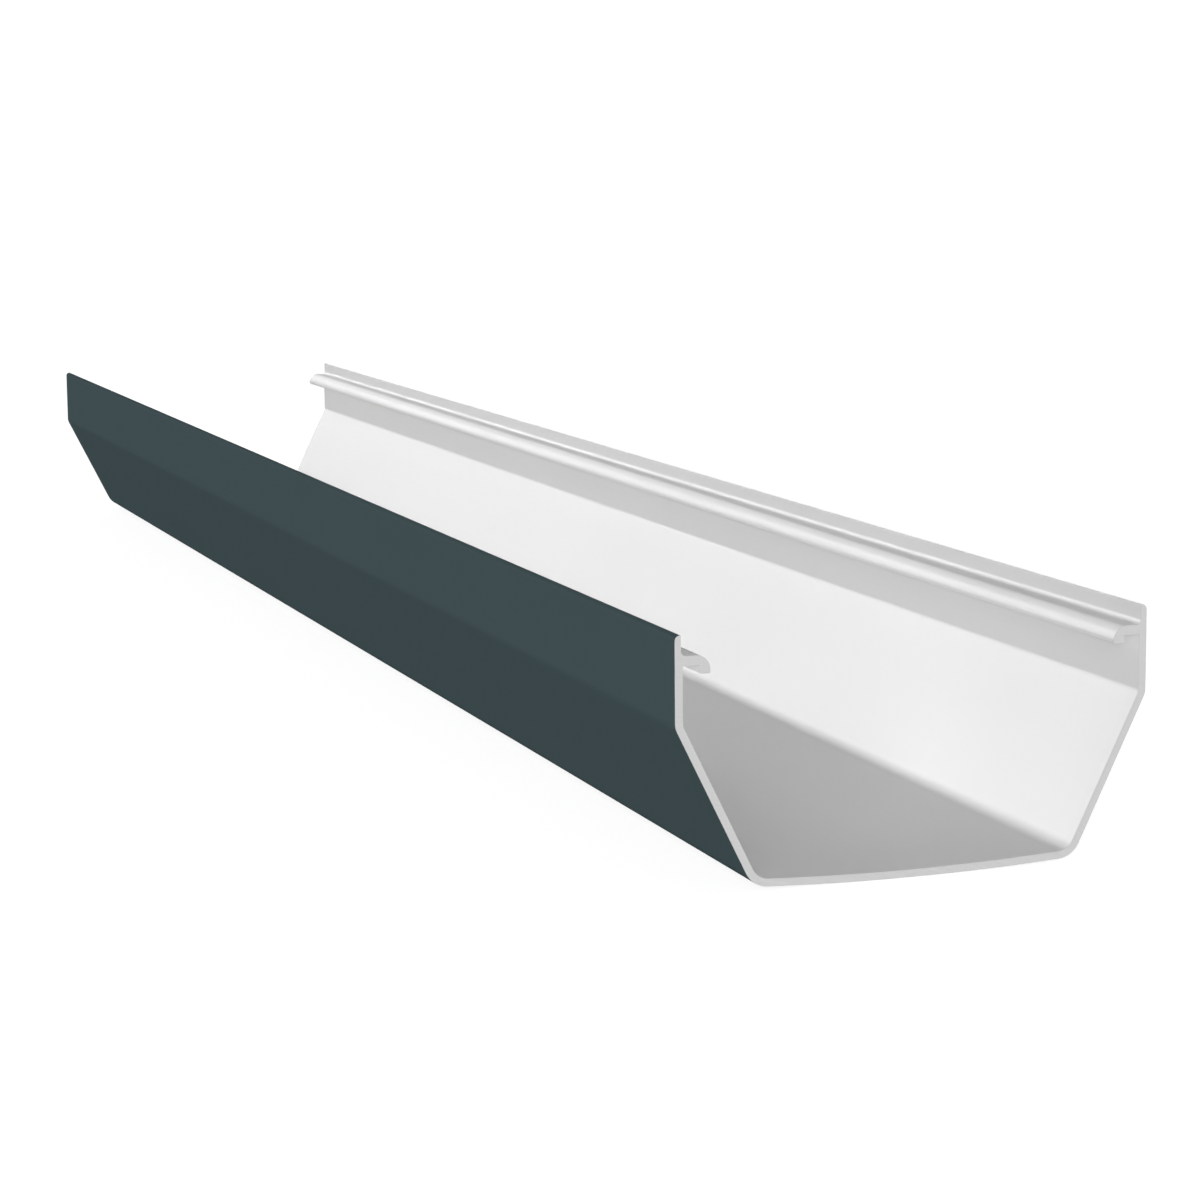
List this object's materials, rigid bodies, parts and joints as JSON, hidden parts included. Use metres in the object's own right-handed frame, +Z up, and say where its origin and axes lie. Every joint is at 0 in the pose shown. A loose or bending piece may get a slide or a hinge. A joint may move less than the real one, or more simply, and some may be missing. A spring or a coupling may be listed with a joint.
{
  "type": "gutter section",
  "caption": "Straight rain gutter length with a wide trapezoid section, a shallow bowed floor and a clip hook inside each top edge; carries roof water along the eaves.",
  "frame": {"origin": "midway between both upright walls and both cut ends, at the height of the bowed floor's lowest line", "axes": "+X across the channel towards the back wall that faces the building, +Y along the length, +Z up out of the open top"},
  "size_m": [0.125, 0.8, 0.0637],
  "materials": {
    "gutter_plastic": "satin extruded rigid plastic, light grey inside and on the cut ends, with a thin dark anthracite skin on the outside"
  },
  "bodies": {
    "root": {"gutter_channel": "gutter_plastic"}
  },
  "joints": []
}
